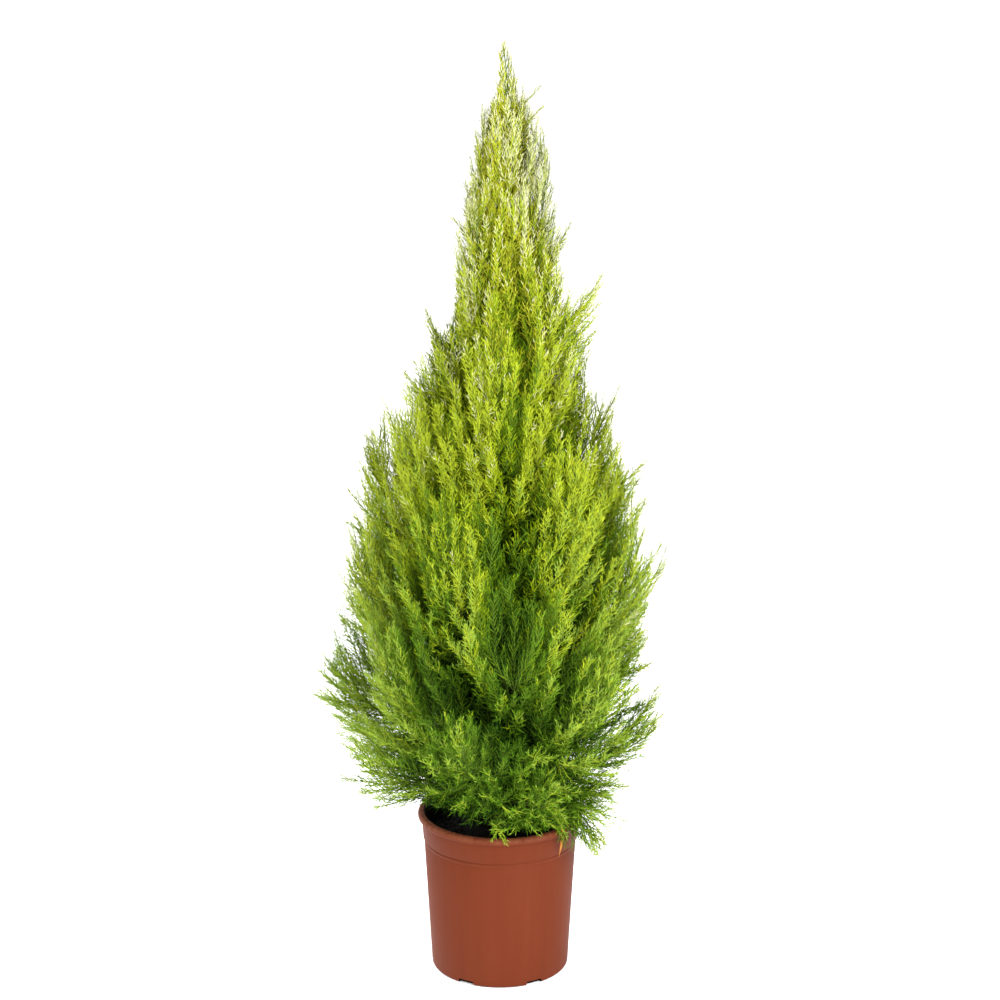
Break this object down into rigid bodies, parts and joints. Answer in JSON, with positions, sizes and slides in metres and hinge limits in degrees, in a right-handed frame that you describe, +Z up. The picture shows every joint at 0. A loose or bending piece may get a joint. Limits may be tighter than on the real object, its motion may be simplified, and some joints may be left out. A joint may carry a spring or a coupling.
{
  "type": "potted lemon cypress",
  "caption": "Narrow cone-shaped evergreen with feathery lime-green foliage in upswept plumes round one trunk, growing in a round terracotta-coloured plastic nursery pot.",
  "frame": {"origin": "centre of the pot's flat underside, where the plant stands", "axes": "+Z up along the plant, -Y towards the front that the picture shows, +X to the right in that view"},
  "size_m": [0.3933, 0.3831, 1.075],
  "materials": {
    "pot_plastic": "terracotta-coloured moulded polypropylene with a dull satin skin and fine vertical flow marks",
    "compost": "dark moist potting compost, crumbly, with small bark fibres",
    "bark": "thin red-brown bark, lightly ridged lengthways",
    "foliage": "fine scale-like needles, lime yellow on the outer and upper shoots, deeper green low down and inside"
  },
  "bodies": {
    "root": {"bough_01": "bark", "bough_02": "bark", "bough_03": "bark", "bough_04": "bark", "bough_05": "bark", "bough_06": "bark", "bough_07": "bark", "bough_08": "bark", "bough_09": "bark", "bough_10": "bark", "bough_11": "bark", "bough_12": "bark", "bough_13": "bark", "bough_14": "bark", "bough_15": "bark", "bough_16": "bark", "bough_17": "bark", "bough_18": "bark", "leader": "foliage", "plume_01": "foliage", "plume_02": "foliage", "plume_03": "foliage", "plume_04": "foliage", "plume_05": "foliage", "plume_06": "foliage", "plume_07": "foliage", "plume_08": "foliage", "plume_09": "foliage", "plume_10": "foliage", "plume_11": "foliage", "plume_12": "foliage", "plume_13": "foliage", "plume_14": "foliage", "plume_15": "foliage", "plume_16": "foliage", "plume_17": "foliage", "plume_18": "foliage", "plume_19": "foliage", "plume_20": "foliage", "plume_21": "foliage", "plume_22": "foliage", "plume_23": "foliage", "plume_24": "foliage", "plume_25": "foliage", "plume_26": "foliage", "plume_27": "foliage", "plume_28": "foliage", "plume_29": "foliage", "plume_30": "foliage", "plume_31": "foliage", "plume_32": "foliage", "plume_33": "foliage", "plume_34": "foliage", "plume_35": "foliage", "plume_36": "foliage", "pot": "pot_plastic", "soil": "compost", "trunk": "bark"}
  },
  "joints": []
}
